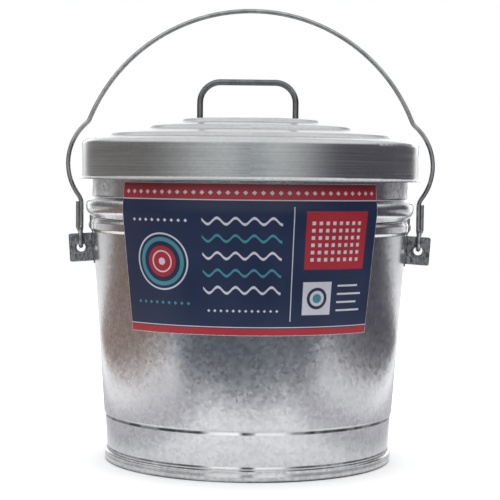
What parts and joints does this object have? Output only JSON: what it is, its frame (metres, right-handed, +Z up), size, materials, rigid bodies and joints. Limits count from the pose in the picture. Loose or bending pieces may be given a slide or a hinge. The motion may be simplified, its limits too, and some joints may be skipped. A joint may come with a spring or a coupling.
{
  "type": "galvanized trash can with lid",
  "caption": "Tapered galvanized steel can with rolled beads, a stepped lift-off lid with a rod handle, and a wire bail that swings over the lid to lock it.",
  "frame": {"origin": "middle of the can's footprint, at the floor it stands on", "axes": "+Z up along the can's axis, ears on the X axis, label facing -Y, bail swinging about X"},
  "size_m": [0.387, 0.3654, 0.47],
  "materials": {
    "galvanized_wall": "galvanized, fine spangle, satin",
    "galvanized_base": "galvanized, satin",
    "galvanized_lid": "galvanized, fine spangle, satin",
    "ear_steel": "zinc plated, satin",
    "rivet_steel": "zinc plated, smooth",
    "rod": "zinc plated rod, satin",
    "wire": "galvanized wire, satin",
    "label": null
  },
  "bodies": {
    "can": {"body_shell": "galvanized_wall", "rim_wire": "wire", "bottom_pan": "galvanized_base", "left_ear": "ear_steel", "right_ear": "ear_steel", "left_ear_rivets": "rivet_steel", "right_ear_rivets": "rivet_steel", "label": "label"},
    "lid": {"lid_shell": "galvanized_lid", "lid_handle": "rod", "lid_handle_washers": "rod"},
    "bail": {"bail": "wire"}
  },
  "joints": [
    {"name": "bail_swing", "type": "hinge", "parent": "can", "child": "bail", "pos_m": [0, 0, 0.22933], "axis": [1, 0, 0], "range_deg": [0, 138]},
    {"name": "lid_lift", "type": "slide", "parent": "can", "child": "lid", "axis": [0, 0, 1], "range_m": [0, 0.041]}
  ],
  "couplings": [
    {"joint": "lid_lift", "follows": "bail_swing", "m_per_rad": 0.01702}
  ]
}
